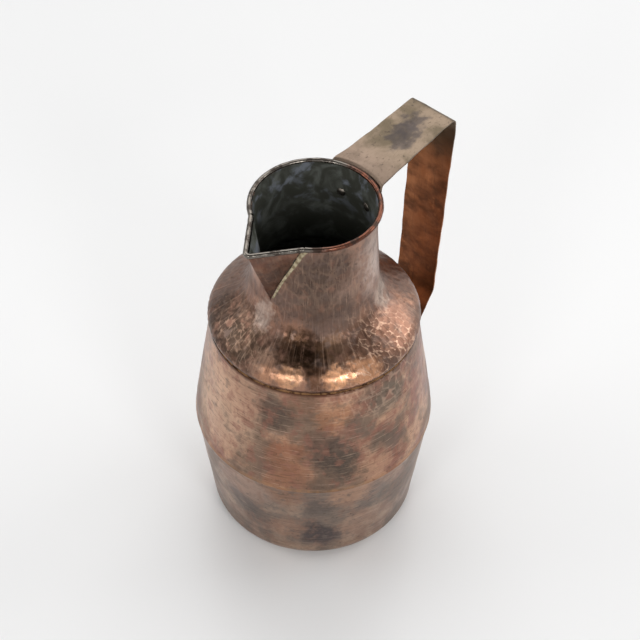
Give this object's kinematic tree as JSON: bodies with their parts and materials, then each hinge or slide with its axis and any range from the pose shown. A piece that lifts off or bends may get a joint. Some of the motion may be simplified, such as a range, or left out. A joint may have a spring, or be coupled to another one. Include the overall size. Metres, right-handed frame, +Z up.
{
  "type": "copper water jug",
  "caption": "Hammered copper water jug with a conical body, rounded shoulder, open neck, V-shaped pouring spout and squared strap handle.",
  "frame": {"origin": "centre of the flat bottom, on the surface the jug stands on", "axes": "+Z up along the jug's axis, +X towards the handle, -X towards the spout, +Y to the left of someone who looks from the spout to the handle"},
  "size_m": [0.1817, 0.15, 0.2522],
  "materials": {
    "hammered_copper": "hammered and brushed sheet copper with brown patina, satin",
    "aged_copper": "aged copper strap with olive-brown patina, satin",
    "copper_rivet": "domed and dark with wear on top",
    "brass_braze": "bright yellow braze line",
    "steel_wire": "plain drawn wire, hidden in the rolled rim"
  },
  "bodies": {
    "root": {"lower_body": "hammered_copper", "upper_body": "hammered_copper", "shoulder_neck": "hammered_copper", "spout": "hammered_copper", "rim_wire": "steel_wire", "handle_strap": "aged_copper", "upper_rivet_left": "copper_rivet", "upper_rivet_right": "copper_rivet", "lower_rivet_left": "copper_rivet", "lower_rivet_right": "copper_rivet", "spout_braze_left": "brass_braze", "spout_braze_right": "brass_braze", "belly_braze_ring": "brass_braze", "shoulder_braze_ring": "brass_braze"}
  },
  "joints": []
}
